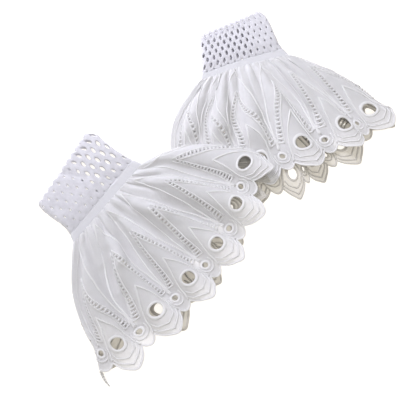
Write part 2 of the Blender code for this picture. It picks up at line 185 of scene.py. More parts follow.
# How the upper layer's lace drifts sideways above the hem, in pitches, at the places in the strip
DRIFT_PLACES = (-0.36, 0.0, 1.0, 2.0, 3.0, 4.0, 5.0, 5.64)
LEFT_DRIFT = (0.0, 0.13, 0.0, 0.0, 0.08, 0.06, 0.28, 0.0)
RIGHT_DRIFT = (0.0, 0.0, 0.0, -0.22, 0.42, 0.45, 0.25, 0.0)
DRIFT_FROM = 0.045
DRIFT_FADE = 0.045

# Ridges and troughs of the upper layers: height, width, then the points of their line (place in the
# strip in pitches, distance from the tape)
LEFT_CREASES = (
    (0.0018, 0.0050, (2.46, 0.006), (2.38, 0.041), (2.39, 0.074)),
    (0.0015, 0.0035, (2.03, 0.005), (2.10, 0.029), (2.12, 0.049)),
    (0.0016, 0.0040, (3.46, 0.003), (4.05, 0.048), (4.33, 0.064)),
    (0.0012, 0.0035, (3.10, 0.004), (3.69, 0.029), (3.97, 0.049)),
    (0.0014, 0.0040, (4.10, 0.004), (4.34, 0.016), (4.43, 0.035)),
    (0.0012, 0.0040, (0.46, 0.007), (0.57, 0.028), (0.82, 0.045)),
    (0.0014, 0.0038, (2.10, 0.022), (1.84, 0.064), (1.62, 0.086)),
    (0.0010, 0.0035, (0.95, 0.010), (1.40, 0.030), (1.30, 0.060)),
    (-0.0014, 0.0026, (1.03, 0.012), (1.57, 0.038), (1.54, 0.064), (1.46, 0.089)),
    (-0.0013, 0.0030, (1.90, 0.028), (1.65, 0.070), (1.47, 0.089), (1.50, 0.097)),
    (-0.0013, 0.0034, (3.57, 0.003), (4.03, 0.024), (4.14, 0.043)),
    (-0.0013, 0.0040, (3.10, 0.018), (3.67, 0.056), (3.50, 0.095)),
    (-0.0012, 0.0034, (4.16, 0.031), (4.39, 0.050), (4.48, 0.096)),
    (-0.0010, 0.0030, (5.00, 0.010), (5.35, 0.040), (5.50, 0.075)),
    (-0.0010, 0.0040, (0.10, 0.020), (0.30, 0.050), (0.50, 0.085)),
)
RIGHT_CREASES = (
    (0.0018, 0.0036, (0.93, 0.006), (1.12, 0.035), (1.23, 0.060)),
    (0.0014, 0.0040, (0.10, 0.009), (0.34, 0.038), (0.41, 0.054)),
    (0.0018, 0.0060, (2.57, 0.010), (2.53, 0.031), (2.54, 0.050)),
    (0.0018, 0.0055, (4.25, 0.006), (4.16, 0.040), (4.08, 0.078)),
    (0.0014, 0.0045, (5.35, 0.012), (5.10, 0.050), (5.05, 0.080)),
    (0.0010, 0.0030, (3.60, 0.006), (3.55, 0.030)),
    (-0.0013, 0.0034, (0.57, 0.008), (0.80, 0.035), (1.03, 0.060)),
    (-0.0013, 0.0036, (1.50, 0.006), (1.56, 0.030), (1.50, 0.080)),
    (-0.0013, 0.0036, (3.04, 0.010), (3.01, 0.044)),
    (0.0013, 0.0075, (4.66, 0.025), (4.51, 0.045), (4.47, 0.084)),
    (-0.0010, 0.0030, (3.85, 0.006), (3.70, 0.036), (3.55, 0.080)),
)
CREASE_SCALE = 0.6  # width of the gathered cloth beside its flat width
PAIR_CENTRE = (0.019178, 0.026042)  # middle of the pair, from the point where the camera looks

# place, turn: where a cuff lies and how far it is turned (degrees). bow: how far each side bows out.
# lean: lengthening of the band per metre of Y. drift_rise: how far the middle of the lace is drawn to
# the tape. strand: width of a strand of the net beside the size in the panel. open: share of a hole
# that is open, by its place k round the band. drawn_in: share by which the holes close at the tape.
# net: half diamonds over the top of the band, as many underneath, and half diamonds along it.
# underside: how far the net lies shifted there, in half diamonds across and in metres along the band
CUFFS = {
    "left": {
        "place": (-0.0744, -0.0019),
        "turn": -33.0,
        "front": LEFT_FRONT,
        "back": LEFT_BACK,
        "bow": (0.0088, 0.0076),
        "band": LEFT_BAND,
        "lean": 2.6,
        "seam": LEFT_SEAM,
        "drift": LEFT_DRIFT,
        "drift_rise": -0.005,
        "strand": 1.15,
        "open": ((0.0, 1.0), (0.36, 1.0), (0.52, 0.30), (1.0, 0.30), (1.6, 0.9), (3.5, 0.9), (4.0, 1.0)),
        "drawn_in": 0.6,
        "net": (20, 6),
        "underside": (0.33, -0.0018),
        "band_crease": ((-0.0470, -0.0070), (-0.0365, -0.0020), (-0.0264, 0.0035), (-0.0200, 0.0150)),
        "creases": LEFT_CREASES,
    },
    "right": {
        "place": (0.0415, 0.1267),
        "turn": -70.8,
        "front": RIGHT_FRONT,
        "back": RIGHT_BACK,
        "bow": (0.0078, 0.0120),
        "band": RIGHT_BAND,
        "lean": 2.8,
        "seam": RIGHT_SEAM,
        "drift": RIGHT_DRIFT,
        "drift_rise": 0.008,
        "strand": 1.0,
        "open": ((0.0, 0.4), (0.26, 0.45), (0.40, 1.0), (1.0, 1.0), (1.5, 0.2), (3.6, 0.2), (4.0, 0.4)),
        "drawn_in": 0.15,
        "net": (22, 7),
        "underside": (0.0, 0.0),
        "band_crease": (),
        "creases": RIGHT_CREASES,
    },
}

# Flat cloth
CELL_COLUMNS = 36
CELL_ROWS = 100
HEM_ROWS_FROM = 0.80  # share of the rows above those that take the hem's outline
FOLD_CUTS = (0.0008, 0.0014, 0.0020, 0.0027, 0.0034)  # columns more round a side fold, from its end
CLOTH_LEVEL = {"front": 0.00045, "back": 0.00045}  # outer side of the thin cloth, from the wall's middle
STITCH_LEVEL = {"front": 0.00050, "back": 0.00015}  # middle of the cords

# Stitching of one repeat. Points are (from the middle of the large scallop, from the tape)
LADDER = ((0.0, 0.0310), (0.0170, 0.0885))
LADDER_HALVES = (0.0013, 0.0034)  # half width of a leg at its apex and at its foot
OPENING_HALVES = (0.0004, 0.0010)
LADDER_START = 0.0045  # along a leg, where the two legs have parted
RUNG_PITCH = 0.0033
OPENING = 0.0009  # length of an opening, along the leg
OUTLINE = (
    (0.0, 0.0040),
    (0.0085, 0.0200),
    (0.0145, 0.0400),
    (0.0190, 0.0620),
    (0.0206, 0.0780),
    (0.0206, 0.0925),
)
KITE = ((0.0, 0.0665), (0.0118, 0.0960), (0.0128, 0.1010), (0.0150, 0.1062))
OUTER_CHEVRON = ((0.0, 0.1152), (0.0100, 0.1086), (0.0132, 0.1045))
INNER_CHEVRON = ((0.0, 0.1098), (0.0080, 0.1058), (0.0108, 0.1005))
STITCHED_LINES = (  # line, share of the cord's radius
    (OUTLINE, 1.15),
    (KITE, 1.25),
    (OUTER_CHEVRON, 1.0),
    (INNER_CHEVRON, 0.9),
)
LOBE_ARC = (0.0062, -25.0, 205.0)  # radius and ends (degrees) of the cord round a small eyelet
EDGE_INSET = 0.0006
EDGE_SIZE = (0.0008, 0.0005)  # half width and half height of the stitched edge
RIM_HALF_HEIGHT = 0.00055
CORD_STEP = 0.0018
CORD_SIDES = 6
FLAT_SIDES = 8  # sides of the rims and of the stitched edge
RIM_STEPS = (36, 20)
RIM_OVERLAP = 0.0002  # of a rim over the cloth on both its sides
ARC_STEPS = 14
EDGE_STEP = 0.0010
INNER_START = 0.6  # where the inner cords of the two legs begin, as a share of LADDER_START
RUNG_WIDTH = 1.1  # beside the cord's radius
LADDER_MARGIN = 0.0020  # how far the cuts for the openings run past them
FOLD_CUT_REACH = 0.0015  # faces whose middle is this near a cut's line are cut
MERGED = 0.00001  # points nearer than this become one
WELDED = 1e-7  # the same for the points of one cord or one cut

# Narrow gathers of the upper cloth at the tape
PLEATS = 26
PLEAT_HEIGHT = 0.0009
PLEAT_ENDS = (0.014, 0.046)  # reach of the shortest and the longest, from the tape
PLEAT_DRIFT = (0.35, 31.0)  # how far they stray from an even row, and the turn of that over the strip
PLEAT_TURNS = (2.4, 1.7)  # how reach and height change from one to the next
GATHER_DEPTH = (0.55, 0.45)  # least share of a gather's height, and what is added to it
DRAPE_STEP = 0.00005  # over which the direction of the cloth is measured

# The wristband's net
NET_SIDE = 2  # half diamonds round each side
STRAND = 0.0015  # half width of a strand
BAND_CREASE = (0.0016, 0.0024)  # depth and width
NET_DRAWN_IN = 0.014  # from here to the tape the holes close
NET_THICKNESS = 0.0016
NET_LEVEL = 0.0002
NET_OVERHANG = 0.0012  # past the solid's free edge, taken back by the rounding of the strands
NET_TUCK = 0.0012  # under the tape
NET_SLOPE = 0.010  # from here to the tape the net thins to the tape's height
NET_SINK = 0.0006

# The tape and its stitches
TAPE_LENGTH = 4 * HALF_SEAM
TAPE_OVERLAP = 0.0005  # over the gathers
TAPE_THICKNESS = 0.0007
TAPE_SINK = 0.0001
TAPE_COLUMNS = 150
TAPE_ROWS = 6
TAPE_CORNERS = (0.0, 0.47, 0.50, 0.97, 1.0)  # shares of its length where it turns round the sides
PUCKER = 0.00012
PUCKERS = 62
TAPE_STITCHES = 58
TAPE_STITCH = 0.0115  # length of a stitch, as a share of the tape's length
TAPE_STITCH_POINTS = (-0.5, -0.2, 0.2, 0.5)
TAPE_STITCH_SIZE = (0.00040, 0.00035)  # half width and half height
TAPE_STITCH_LINE = 0.0005
TAPE_STITCH_LIFT = 0.00015

# The thread end: along it from the hem corner, sideways, its radius
TAIL_ROWS = (
    (0.0018, 0.0, 0.0013),
    (0.0055, 0.0004, 0.0012),
    (0.0095, 0.0014, 0.0010),
    (0.0135, 0.0032, 0.0006),
)
TAIL_STEPS = 40
TAIL_SIDES = 10
TAIL_PLY = 0.56  # radius of a ply, as a share of the thread's
TAIL_TWIST = 0.0042  # length of one turn
TAIL_BEFORE = 0.001  # it runs on in the direction that the side has here, short of the hem

# Finishes: roughness, sheen, how much light goes through
WOVEN = (0.85, 0.2, 0.85)
SATIN = (0.55, 0.3, 0.3)
CROCHETED = (0.9, 0.3, 0.85)
PAPER = (0.9, 0.0, 0.0)
EVERY_CLOTH = {
    "Sheen Roughness": 0.5,
    "Specular IOR Level": 0.2,
    "Subsurface Scale": 0.002,
    "Subsurface Radius": (1.0, 1.0, 1.0),
}
TAPE_WEAVE = 0.0007  # distance between threads
TAPE_THREAD = 0.0004  # distance between the turns of a thread
TAIL_THREAD = 0.0006
WOVEN_MOTTLE = (90.0, 0.04)  # scale of the spots and how much darker they are
NET_MOTTLE = (260.0, 0.10)
MOTTLE_ENDS = (0.35, 0.65)
MOTTLE_DETAIL = 3.0
BUMP_DETAIL = 2.0
CRUMPLE = 150.0
CRUMPLE_HEIGHT = 14.0  # beside the height of a thread
WOVEN_BUMP = (0.35, 0.00008)  # strength and depth
SATIN_BUMP = (0.5, 0.00015)
SATIN_DISTORTION = 1.0
NET_FIBRES = 1400.0
NET_BUMP = (0.6, 0.0003)
BANDS_PER_TURN = 20  # the wave texture's own scale

# The stage
FLOOR_HALF = 3.0
FLOOR_DROP = 0.0005
TABLE_GLOW = (1.0, 0.96, 0.89, 1.0)
SKY = (1.0, 0.985, 0.96, 1.0)
KEY_COLOUR = (0.875, 0.88, 1.0)
KEY_PLACE = (-0.25, 0.34, 0.34)
FILL_COLOUR = (1.0, 0.985, 0.97)
FILL_PLACE = (0.0, -0.42, 0.91)
SENSOR = 36.0
NEAREST_SEEN = 0.01


def eased(x):
    """0 to 1 with a level start and end."""
    x = np.clip(x, 0.0, 1.0)
    return x * x * (3.0 - 2.0 * x)


def unit(rows):
    """The directions of vectors."""
    return rows / np.linalg.norm(rows, axis=1, keepdims=True)


def crosswise(rows):
    """Plan vectors, turned left by a right angle."""
    return np.stack((-rows[:, 1], rows[:, 0]), axis=1)


def through(knots, values, at):
    """A smooth curve through values at rising knots, read at the given places."""
    knots = np.asarray(knots, float)
    values = np.asarray(values, float)
    slopes = np.gradient(values, knots, axis=0)
    at = np.clip(at, knots[0], knots[-1])
    i = np.clip(np.searchsorted(knots, at) - 1, 0, len(knots) - 2)
    step = knots[i + 1] - knots[i]
    x = (at - knots[i]) / step
    if values.ndim > 1:
        x, step = x[:, None], step[:, None]
    start = values[i] * (1 + 2 * x) * (1 - x) ** 2 + slopes[i] * step * x * (1 - x) ** 2
    end = values[i + 1] * x * x * (3 - 2 * x) + slopes[i + 1] * step * x * x * (x - 1)
    return start + end


def to_table(cuff, points):
    """Plan points of a cuff's frame, on the table."""
    turn = math.radians(cuff["turn"])
    c, s = math.cos(turn), math.sin(turn)
    return points @ np.array(((c, s), (-s, c))) + np.array(cuff["place"]) - np.array(PAIR_CENTRE)


def on_table(cuff, points):
    """Points of a cuff's frame, in the pair's frame."""
    return np.concatenate((to_table(cuff, points[:, :2]), points[:, 2:]), axis=1)


def rows_of(cuff, layer):
    """Places across the cuff (0 at its +Y side, 1 at its -Y side), eyelet line, hem directions, heights."""
    rows = np.array(cuff[layer])
    past_fold = (rows[:, 0] - rows[0, 0]) / REPEATS
    places = past_fold if layer == "front" else 1.0 - past_fold
    angle = np.radians(rows[:, 1])
    points = rows[:, 2:3] * np.stack((np.cos(angle), np.sin(angle)), axis=1)
    order = np.argsort(places)
    return places[order], points[order], np.radians(rows[order, 3]), rows[order, 4]


def spoke(cuff, layer, share, v):
    """Plan position of the cloth, a share of the way across the cuff and a distance v from the tape."""
    places, points, hem_turns, _ = rows_of(cuff, layer)
    side = 1.0 - 2.0 * share
    seam = np.stack((0.0 * share + SEAM_START, HALF_SEAM * side), axis=1)
    reach = through(places, points, share) - seam
    outward = unit(crosswise(reach))
    t = v / EYELET_LINE
    bow = np.where(side > 0, *cuff["bow"]) * side * np.abs(side) * np.sin(math.pi * t)
    straight = seam + reach * t[:, None] + outward * bow[:, None]
    turn = through(places, hem_turns, share)
    past = (v - EYELET_LINE)[:, None] * np.stack((np.cos(turn), np.sin(turn)), axis=1)
    bend = eased((v - HEM_BEND[0]) / (HEM_BEND[1] - HEM_BEND[0]))
    return straight + (seam + reach + past - straight) * bend[:, None]


def footprint(cuff, layer):
    """Outline of a flounce on the table."""
    steps = np.linspace(0.0, 1.0, FOOTPRINT_STEPS)
    side = spoke(cuff, layer, 0.0 * steps, steps * HEM_CORNER)
    tips = spoke(cuff, layer, steps, 0.0 * steps + HEM_TIP)
    other = spoke(cuff, layer, 0.0 * steps + 1.0, steps[::-1] * HEM_CORNER)
    return to_table(cuff, np.concatenate((side, tips, other)))


def outside(outline, points):
    """Distance from an outline, negative within it."""
    start = outline[None, :, :]
    edge = np.roll(outline, -1, axis=0)[None, :, :] - start
    reach = points[:, None, :] - start
    square = np.maximum((edge * edge).sum(2), LEAST_SQUARE)
    along = np.clip((reach * edge).sum(2) / square, 0.0, 1.0)
    distance = np.linalg.norm(reach - edge * along[:, :, None], axis=2).min(1)
    crosses = (reach[:, :, 1] >= 0) != (reach[:, :, 1] >= edge[:, :, 1])
    rise = np.where(crosses, edge[:, :, 1], 1.0)
    beyond = crosses & (reach[:, :, 0] < edge[:, :, 0] * reach[:, :, 1] / rise)
    return np.where(beyond.sum(1) % 2 == 1, -distance, distance)


def near(cuff, points, ramp):
    """1 over a flounce and just past it, easing to 0 away from it."""
    distance = np.minimum(*[outside(footprint(cuff, layer), points) for layer in ("front", "back")])
    return eased(1.0 - (distance - FOOTPRINT_MARGIN) / ramp)


def gathers(v, height, end):
    """Depth of the gathers at a distance from the tape."""
    low, added = GATHER_DEPTH
    return height * (low + added * eased(v / GATHER_CREST)) * (1.0 - eased(v / end))


def wave(share, layer, per_repeat):
    """0 to 1 across a layer, 1 on the line of each large scallop."""
    past_fold = share if layer == "front" else 1.0 - share
    return 0.5 + 0.5 * np.cos(2 * math.pi * per_repeat * (FIRST_FOLD + REPEATS * past_fold))


def heights(name, layer, share, v, table_points):
    """Height of the middle of the solid's wall above the table, before the cuff is lifted."""
    cuff = CUFFS[name]
    gather = gathers(v, BACK_GATHER_HEIGHT, BACK_GATHER_END) * wave(share, "back", GATHERS_PER_REPEAT)
    back = CLOTH / 2 + gather
    if layer == "back":
        return back
    places, _, _, folds = rows_of(cuff, layer)
    fold = through(places, folds, share) * eased(v / FOLD_RISE) * wave(share, "front", 1)
    gather = gathers(v, GATHER_HEIGHT, GATHER_END) * wave(share, "front", GATHERS_PER_REPEAT)
    under_tape = (TAPE_SPREAD - CLOTH - LAYER_SPACE) * (1.0 - eased(v / FOLD_RISE))
    kept = np.ones(len(v))
    if name == "right":
        kept -= (1.0 - PRESSED) * near(CUFFS["left"], table_points, PRESS_RAMP)
    return back + CLOTH + LAYER_SPACE + under_tape + kept * (fold + gather)


def laid(name, layer, s, v):
    """Position of the middle of the solid's wall: s along the strip of this layer, v from the tape."""
    cuff = CUFFS[name]
    end = np.where(s < STRIP / 2, 0.0, 1.0)
    if layer == "back":
        end = 1.0 - end
    corner = to_table(cuff, spoke(cuff, "front", end, v))
    upper = heights(name, "front", end, v, corner)
    lower = heights(name, "back", end, v, corner)
    split, radius = (upper + lower) / 2, (upper - lower) / 2
    quarter = radius * math.pi / 2
    from_end = np.minimum(s, STRIP - s)
    angle = np.minimum(from_end / radius, math.pi / 2)
    middle = spoke(cuff, layer, 0.0 * s + 0.5, v)
    halves = [spoke(cuff, layer, 0.0 * s + side, v) - middle for side in (0.0, 1.0)]
    width = sum(np.linalg.norm(half, axis=1) for half in halves)
    plain = np.maximum(from_end - quarter, 0.0) * (width - 2 * radius) / (STRIP - 2 * quarter)
    inward = radius * (1.0 - np.cos(angle)) + plain
    share = np.where(end == 0.0, inward / width, 1.0 - inward / width)
    full = np.sin(angle)
    spread = 0.0 * share
    if layer == "front":
        pitches = FIRST_FOLD + REPEATS * share
        spread = CREST_SPREAD * eased(v / FOLD_RISE) * full**2 * np.sin(4 * math.pi * pitches)
    plan = spoke(cuff, layer, share + spread / width, v)
    plan[:, 0] += seam_bow(cuff, plan[:, 1]) * (1.0 - eased(v / SEAM_FADE))
    table_points = to_table(cuff, plan)
    z = split + (heights(name, layer, share, v, table_points) - split) * full
    if name == "left":
        z += LIFT * near(CUFFS["right"], table_points, LIFT_RAMP)
    return np.concatenate((plan, z[:, None]), axis=1)


def seam_bow(cuff, y):
    """Shift of the seam to the hem, at a place across the cuff."""
    return through(*zip(*cuff["seam"]), y)


def drifted(name, s, v):
    """Place in the folds of a point of the lace, which drifts above the hem."""
    cuff = CUFFS[name]
    drift = through(DRIFT_PLACES, cuff["drift"], s / PITCH + FIRST_FOLD)
    aside = PITCH * drift * (1.0 - eased((v - DRIFT_FROM) / DRIFT_FADE))
    share = np.clip(v / EYELET_LINE, 0.0, 1.0)
    from_end = eased(np.minimum(s, STRIP - s) / (PITCH / 2))
    return s + aside, v - cuff["drift_rise"] * 4.0 * share * (1.0 - share) * from_end


def creases(cuff, s, v):
    """Height of the ridges and troughs: a smooth bank on each side of their lines."""
    total = 0.0 * s
    place = np.stack((s * CREASE_SCALE, v), axis=1)
    for height, width, *points in cuff["creases"]:
        course = np.array(points)
        course[:, 0] = (course[:, 0] - FIRST_FOLD) * PITCH * CREASE_SCALE
        nearest = 0.0 * s + 1.0
        for start, end in zip(course, course[1:]):
            edge = end - start
            along = np.clip((place - start) @ edge / (edge @ edge), 0.0, 1.0)
            off = place - start - along[:, None] * edge
            nearest = np.minimum(nearest, np.linalg.norm(off, axis=1))
        total += height * np.exp(-((nearest / width) ** 2))
    return total


def pleats(s, v):
    """Narrow gathers at the tape, uneven in height and reach."""
    place = PLEATS * s / STRIP + PLEAT_DRIFT[0] * np.sin(PLEAT_DRIFT[1] * s / STRIP)
    number = np.floor(place)
    reach = 0.5 + 0.5 * np.sin(PLEAT_TURNS[0] * number)
    end = PLEAT_ENDS[0] + (PLEAT_ENDS[1] - PLEAT_ENDS[0]) * reach
    low, added = GATHER_DEPTH
    height = PLEAT_HEIGHT * (low + added * np.sin(PLEAT_TURNS[1] * number) ** 2)
    return height * np.sin(math.pi * (place - number)) ** 2 * (1.0 - eased(v / end))


def drape(name, layer, points):
    """Flat lace (x along the strip, y from the tape, z outside the cloth's middle) laid in its folds."""
    s, v, w = points[:, 0], points[:, 1], points[:, 2]
    if layer == "front":
        s, v = drifted(name, s, v)
    h = DRAPE_STEP
    along = laid(name, layer, s + h, v) - laid(name, layer, s - h, v)
    down = laid(name, layer, s, v + h) - laid(name, layer, s, v - h)
    raised = w.copy()
    if layer == "front":
        raised += pleats(s, v) + creases(CUFFS[name], s, v)
    outward = unit(np.cross(along, down)) * raised[:, None]
    return on_table(CUFFS[name], laid(name, layer, s, v) + outward)


def hem_length(x):
    """Tape to the hem, at a distance from the middle of a large scallop."""
    u = np.abs((x / PITCH + 0.5) % 1.0 - 0.5)
    scallop = through(*zip(*SCALLOP), u)
    lobe = through(*zip(*LOBE), u)
    return np.where(u < LOBE[0][0], scallop, lobe)


def shift(bm, x, y=0.0, z=0.0):
    bmesh.ops.translate(bm, verts=bm.verts, vec=(x, y, z))


def grid(columns, rows):
    """Flat unit grid, from 0 to 1 each way."""
    bm = bmesh.new()
    bmesh.ops.create_grid(bm, x_segments=columns, y_segments=rows, size=0.5)
    shift(bm, 0.5, 0.5)
    return bm


def map_flat(bm, wide=1.0, high=1.0):
    """UV map from the flat form, in metres."""
    uv = bm.loops.layers.uv.new("lace")
    for face in bm.faces:
        for loop in face.loops:
            loop[uv].uv = (loop.vert.co.x * wide, loop.vert.co.y * high)


def shape(bm, function):
    """Moves all points at once: function takes and gives an array of them."""
    moved = function(np.array([vert.co for vert in bm.verts], float))
    for vert, point in zip(bm.verts, moved):
        vert.co = point


def cut(bm, faces, point, normal, clear=False):
    """Cuts the faces along a line, and takes away what lies beyond it if clear is set."""
    faces = list(faces)
    parts = [part for face in faces for part in (*face.edges, *face.verts)]
    geom = list(dict.fromkeys(faces + parts))
    plane = {"plane_co": point, "plane_no": normal, "dist": WELDED}
    bmesh.ops.bisect_plane(bm, geom=geom, clear_outer=clear, clear_inner=False, **plane)


def flat_cell():
    """One repeat of the cloth, centred on its large scallop, with its hem."""
    bm = grid(CELL_COLUMNS, CELL_ROWS)

    def place(points):
        x = (points[:, 0] - 0.5) * PITCH
        share = points[:, 1]
        drop = eased((share - HEM_ROWS_FROM) / (1.0 - HEM_ROWS_FROM) / 2) * 2
        y = share * HEM_CORNER + (hem_length(x) - HEM_CORNER) * drop
        return np.stack((x, y, 0.0 * x), axis=1)

    shape(bm, place)
    return bm


def open_eyelet(bm, x, y, radius):
    """Round hole. The points left on its edge are moved onto the circle."""
    middle = Vector((x, y, 0.0))
    inside = [face for face in bm.faces if (face.calc_center_median() - middle).length < radius]
    edge = {vert for face in inside for vert in face.verts}
    bmesh.ops.delete(bm, geom=inside, context="FACES")
    for vert in edge:
        if vert.is_valid:
            vert.co = middle + (vert.co - middle).normalized() * radius


def ladder_leg(side):
    """Apex, length, direction and crosswise direction of one leg of the ladder."""
    start, foot = (Vector((side * x, y, 0.0)) for x, y in LADDER)
    out = (foot - start).normalized()
    return start, (foot - start).length, out, Vector((-out.y, out.x, 0.0))


def widened(halves, share):
    """Half width at a share of the way from the apex to the foot."""
    return halves[0] + (halves[1] - halves[0]) * share


def open_ladder(bm, side):
    """Openings between the rungs of one leg of the ladder."""
    start, length, out, across = ladder_leg(side)
    margin = LADDER_MARGIN

    def between(low, high, spare):
        found = []
        for face in bm.faces:
            offset = face.calc_center_median() - start
            along = offset.dot(out)
            reach = widened(OPENING_HALVES, along / length) + spare
            if low < along < high and abs(offset.dot(across)) < reach:
                found.append(face)
        return found

    for edge in (-1.0, 1.0):
        taper = out + across * edge * (OPENING_HALVES[1] - OPENING_HALVES[0]) / length
        normal = Vector((-taper.y, taper.x, 0.0))
        faces = between(LADDER_START - margin, length + margin, margin)
        cut(bm, faces, start + across * edge * OPENING_HALVES[0], normal)
    along = LADDER_START
    while along + OPENING < length:
        for edge in (along, along + OPENING):
            cut(bm, between(along - margin, along + OPENING + margin, 0.0), start + out * edge, out)
        bmesh.ops.delete(bm, geom=between(along, along + OPENING, 0.0), context="FACES")
        along += RUNG_PITCH


def trim(bm):
    """Cuts a strip to its two ends, at the side folds."""
    low = FIRST_FOLD * PITCH + SPLIT / 2
    high = FIRST_FOLD * PITCH + STRIP - SPLIT / 2
    cut(bm, bm.faces, (low, 0.0, 0.0), (-1.0, 0.0, 0.0), clear=True)
    cut(bm, bm.faces, (high, 0.0, 0.0), (1.0, 0.0, 0.0), clear=True)


def repeated(bm, count):
    """The repeat and copies of it, one pitch apart."""
    geom = list(bm.verts) + list(bm.edges) + list(bm.faces)
    for number in range(1, count):
        made = bmesh.ops.duplicate(bm, geom=geom)
        verts = [item for item in made["geom"] if isinstance(item, bmesh.types.BMVert)]
        bmesh.ops.translate(bm, verts=verts, vec=(PITCH * number, 0.0, 0.0))


def lace_cloth():
    """Flat cloth of half a flounce, with its hem, eyelets and ladders."""
    bm = flat_cell()
    for place, y, hole, _ in EYELETS:
        for x in {place * PITCH, -place * PITCH}:
            open_eyelet(bm, x, y, hole)
    for side in (-1.0, 1.0):
        open_ladder(bm, side)
    repeated(bm, REPEATS + 1)
    bmesh.ops.remove_doubles(bm, verts=bm.verts, dist=MERGED)
    trim(bm)
    ends = (FIRST_FOLD * PITCH, FIRST_FOLD * PITCH + STRIP)
    for step in FOLD_CUTS:
        for x in (ends[0] + step, ends[1] - step):
            faces = [face for face in bm.faces if abs(face.calc_center_median().x - x) < FOLD_CUT_REACH]
            cut(bm, faces, (x, 0.0, 0.0), (1.0, 0.0, 0.0))
    shift(bm, -FIRST_FOLD * PITCH)
    map_flat(bm)
    return bm


def line(*corners):
    """Points a step apart along straight runs between corners."""
    points = [corners[0]]
    for start, end in zip(corners, corners[1:]):
        length = math.dist(start, end)
        steps = max(1, round(length / CORD_STEP))
        for i in range(1, steps + 1):
            points.append(tuple(a + (b - a) * i / steps for a, b in zip(start, end)))
    return points


def cord(bm, path, half_width, half_height, sides=CORD_SIDES, closed=False):
    """Closed tube along flat points, its UVs in metres along it and round it."""
    path = np.array(path, float)
    count = len(path) - 1
    ahead = np.roll(path, -1, axis=0) - np.roll(path, 1, axis=0)
    if closed:
        ahead[0] = ahead[-1] = path[1] - path[-2]
    else:
        ahead[0] = path[1] - path[0]
        ahead[-1] = path[-1] - path[-2]
    aside = crosswise(unit(ahead))
    lengths = np.concatenate(((0.0,), np.cumsum(np.linalg.norm(np.diff(path, axis=0), axis=1))))
    uv = bm.loops.layers.uv.verify()
    made = bmesh.ops.create_grid(bm, x_segments=count, y_segments=sides, size=0.5)
    new = made["verts"]
    faces = dict.fromkeys(face for vert in new for face in vert.link_faces)
    for face in faces:
        for loop in face.loops:
            i = round((loop.vert.co.x + 0.5) * count)
            loop[uv].uv = (lengths[i], (loop.vert.co.y + 0.5) * 2 * math.pi * half_width)
    for vert in new:
        i = round((vert.co.x + 0.5) * count)
        turn = 2 * math.pi * (vert.co.y + 0.5)
        off = aside[i] * math.cos(turn) * half_width
        vert.co = (path[i, 0] + off[0], path[i, 1] + off[1], -math.sin(turn) * half_height)
    bmesh.ops.remove_doubles(bm, verts=new, dist=WELDED)
    if not closed:
        edges = [edge for face in faces if face.is_valid for edge in face.edges if edge.is_boundary]
        bmesh.ops.holes_fill(bm, edges=list(dict.fromkeys(edges)))


def mirrored(points):
    """A path and its mirror image, as one line over the middle of the scallop."""
    return [(-x, y) for x, y in reversed(points[1:])] + list(points)


def circle(x, y, radius, low, high, count):
    """Points on an arc, by angles in degrees."""
    turns = [math.radians(low + (high - low) * i / count) for i in range(count + 1)]
    return [(x + radius * math.cos(turn), y + radius * math.sin(turn)) for turn in turns]


def ladder_stitching(bm, side, radius):
    """Cords down both sides of a leg of the ladder, and the rungs between them."""
    start, length, out, across = ladder_leg(side)
    foot = start + out * length
    for edge in (-1.0, 1.0):
        later = LADDER_START * INNER_START if edge * side > 0 else 0.0
        begin = start + across * edge * LADDER_HALVES[0] + out * later
        end = foot + across * edge * LADDER_HALVES[1]
        cord(bm, line(begin.xy[:], end.xy[:]), radius, radius)
    along = LADDER_START - (RUNG_PITCH - OPENING) / 2
    while along < length:
        reach = across * widened(LADDER_HALVES, along / length)
        middle = start + out * along
        rung = [(middle + reach * edge).xy[:] for edge in (-1.0, 0.0, 1.0)]
        cord(bm, rung, radius * RUNG_WIDTH, radius)
        along += RUNG_PITCH


def lace_stitching(radius):
    """Flat cords, ladder rungs, eyelet rims and hem stitching of half a flounce."""
    bm = bmesh.new()
    for side in (-1.0, 1.0):
        ladder_stitching(bm, side, radius)
    for course, share in STITCHED_LINES:
        cord(bm, line(*mirrored(course)), radius * share, radius * share)
    for (place, y, hole, rim), count in zip(EYELETS, RIM_STEPS):
        path = circle(place * PITCH, y, (hole + rim) / 2, 0.0, 360.0, count)
        cord(bm, path, (rim - hole) / 2 + RIM_OVERLAP, RIM_HALF_HEIGHT, FLAT_SIDES, closed=True)
    arc_radius, low, high = LOBE_ARC
    cord(bm, circle(0.5 * PITCH, EYELETS[1][1], arc_radius, low, high, ARC_STEPS), radius, radius)
    repeated(bm, REPEATS)
    steps = round(STRIP / EDGE_STEP)
    x = FIRST_FOLD * PITCH + STRIP * np.arange(steps + 1) / steps
    cord(bm, np.stack((x, hem_length(x) - EDGE_INSET), axis=1), *EDGE_SIZE, FLAT_SIDES)
    trim(bm)
    bmesh.ops.holes_fill(bm, edges=[edge for edge in bm.edges if edge.is_boundary])
    bmesh.ops.recalc_face_normals(bm, faces=bm.faces)
    shift(bm, -FIRST_FOLD * PITCH)
    return bm


def as_mesh(bm, name):
    mesh = bpy.data.meshes.new(name)
    bm.to_mesh(mesh)
    bm.free()
    return mesh


def wrapped_mesh(bm, name, wrap, merged=True):
    """The mesh of a flat form that a function wraps round the cuff, its seam closed."""
    shape(bm, wrap)
    if merged:
        bmesh.ops.remove_doubles(bm, verts=bm.verts, dist=MERGED)
    bmesh.ops.recalc_face_normals(bm, faces=bm.faces)
    return as_mesh(bm, name)


